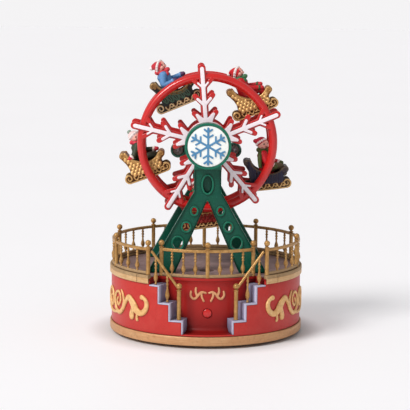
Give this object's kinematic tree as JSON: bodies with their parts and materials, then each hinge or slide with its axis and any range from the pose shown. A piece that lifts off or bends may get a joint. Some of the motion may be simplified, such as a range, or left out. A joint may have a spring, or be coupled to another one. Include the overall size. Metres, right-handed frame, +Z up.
{
  "type": "ferris wheel decoration",
  "caption": "Round drum with stairs and railings that carries a turning double snowflake wheel with hanging sleighs and small seated riders between two A-frames.",
  "frame": {"origin": "centre of the drum, on the surface that its feet stand on", "axes": "+Z up, the stairs and the push button face -Y, the sleighs' noses point to +X"},
  "size_m": [0.2, 0.2, 0.2831],
  "materials": {
    "gloss_red": "glossy red paint",
    "drum_red": "satin red paint",
    "green_paint": "satin dark green paint",
    "gold_band": "brushed pale gold paint",
    "antique_gold": "antique gold paint, dark in the hollows",
    "sleigh_gold": "gold paint with a brown wash",
    "sleigh_green": "dark green paint, gold trim",
    "sleigh_navy": "dark blue paint, gold trim",
    "stair_grey": "matt lavender grey paint",
    "deck_brown": "matt grey brown boards",
    "white_paint": "satin white paint",
    "steel": "plain",
    "brass": "plain",
    "black_plastic": "matt black",
    "foot_rubber": "matt black",
    "cell_sleeve": "plain sleeve",
    "board": "bare board",
    "coat_blue": "hand painted",
    "coat_red": "hand painted",
    "coat_green": "hand painted"
  },
  "bodies": {
    "base": {"drum_shell": "drum_red", "front_panel": "drum_red", "front_frame": "green_paint", "back_frame": "green_paint", "gear_case": "green_paint", "gear_case_cover": "green_paint", "foot_ring": "gold_band", "deck_ring": "gold_band", "wall_scroll_left": "gold_band", "wall_scroll_right": "gold_band", "panel_scroll_left": "gold_band", "panel_scroll_right": "gold_band", "railing_front": "antique_gold", "railing_right": "antique_gold", "railing_back_right": "antique_gold", "railing_back_left": "antique_gold", "railing_left": "antique_gold", "stair_rail_left": "antique_gold", "stair_rail_right": "antique_gold", "stairs_left": "stair_grey", "stairs_right": "stair_grey", "deck": "deck_brown", "medallion": "white_paint", "motor": "steel", "front_bush": "brass", "back_bush": "brass", "bottom_cover": "black_plastic", "battery_door": "black_plastic", "speaker": "black_plastic", "button_switch": "black_plastic", "foot_1": "foot_rubber", "foot_2": "foot_rubber", "foot_3": "foot_rubber", "foot_4": "foot_rubber", "battery_pack": "cell_sleeve", "circuit_board": "board"},
    "wheel": {"front_wheel": "gloss_red", "back_wheel": "gloss_red", "front_star": "white_paint", "back_star": "white_paint", "hub_tube": "gloss_red", "axle": "steel", "drive_gear": "brass"},
    "pinion": {"motor_pinion": "brass"},
    "button": {"button": "gloss_red"},
    "sleigh_1": {"sleigh_1": "sleigh_green", "figure_1": "coat_blue", "sleigh_pin_1": "steel"},
    "sleigh_2": {"sleigh_2": "sleigh_gold", "figure_2": "coat_red", "sleigh_pin_2": "steel"},
    "sleigh_3": {"sleigh_3": "sleigh_navy", "figure_3": "coat_red", "sleigh_pin_3": "steel"},
    "sleigh_4": {"sleigh_4": "sleigh_gold", "figure_4": "coat_red", "sleigh_pin_4": "steel"},
    "sleigh_5": {"sleigh_5": "sleigh_gold", "figure_5": "coat_green", "sleigh_pin_5": "steel"}
  },
  "joints": [
    {"name": "wheel_spin", "type": "hinge", "parent": "base", "child": "wheel", "pos_m": [0, 0, 0.1973], "axis": [0, 1, 0], "continuous": true},
    {"name": "sleigh_1_swing", "type": "hinge", "parent": "wheel", "child": "sleigh_1", "pos_m": [-0.03471, 0, 0.25507], "axis": [0, 1, 0], "continuous": true},
    {"name": "sleigh_2_swing", "type": "hinge", "parent": "wheel", "child": "sleigh_2", "pos_m": [0.04422, 0, 0.24817], "axis": [0, 1, 0], "continuous": true},
    {"name": "sleigh_3_swing", "type": "hinge", "parent": "wheel", "child": "sleigh_3", "pos_m": [0.06204, 0, 0.17097], "axis": [0, 1, 0], "continuous": true},
    {"name": "sleigh_4_swing", "type": "hinge", "parent": "wheel", "child": "sleigh_4", "pos_m": [-0.00587, 0, 0.13016], "axis": [0, 1, 0], "continuous": true},
    {"name": "sleigh_5_swing", "type": "hinge", "parent": "wheel", "child": "sleigh_5", "pos_m": [-0.06567, 0, 0.18214], "axis": [0, 1, 0], "continuous": true},
    {"name": "pinion_spin", "type": "hinge", "parent": "base", "child": "pinion", "pos_m": [0, 0, 0.1887], "axis": [0, 1, 0], "continuous": true},
    {"name": "button_press", "type": "slide", "parent": "base", "child": "button", "axis": [0, 1, 0], "range_m": [0, 0.0015], "stiffness_N_per_m": 400}
  ],
  "couplings": [
    {"joint": "sleigh_1_swing", "follows": "wheel_spin", "ratio": -1},
    {"joint": "sleigh_2_swing", "follows": "wheel_spin", "ratio": -1},
    {"joint": "sleigh_3_swing", "follows": "wheel_spin", "ratio": -1},
    {"joint": "sleigh_4_swing", "follows": "wheel_spin", "ratio": -1},
    {"joint": "sleigh_5_swing", "follows": "wheel_spin", "ratio": -1},
    {"joint": "pinion_spin", "follows": "wheel_spin", "ratio": -3}
  ]
}
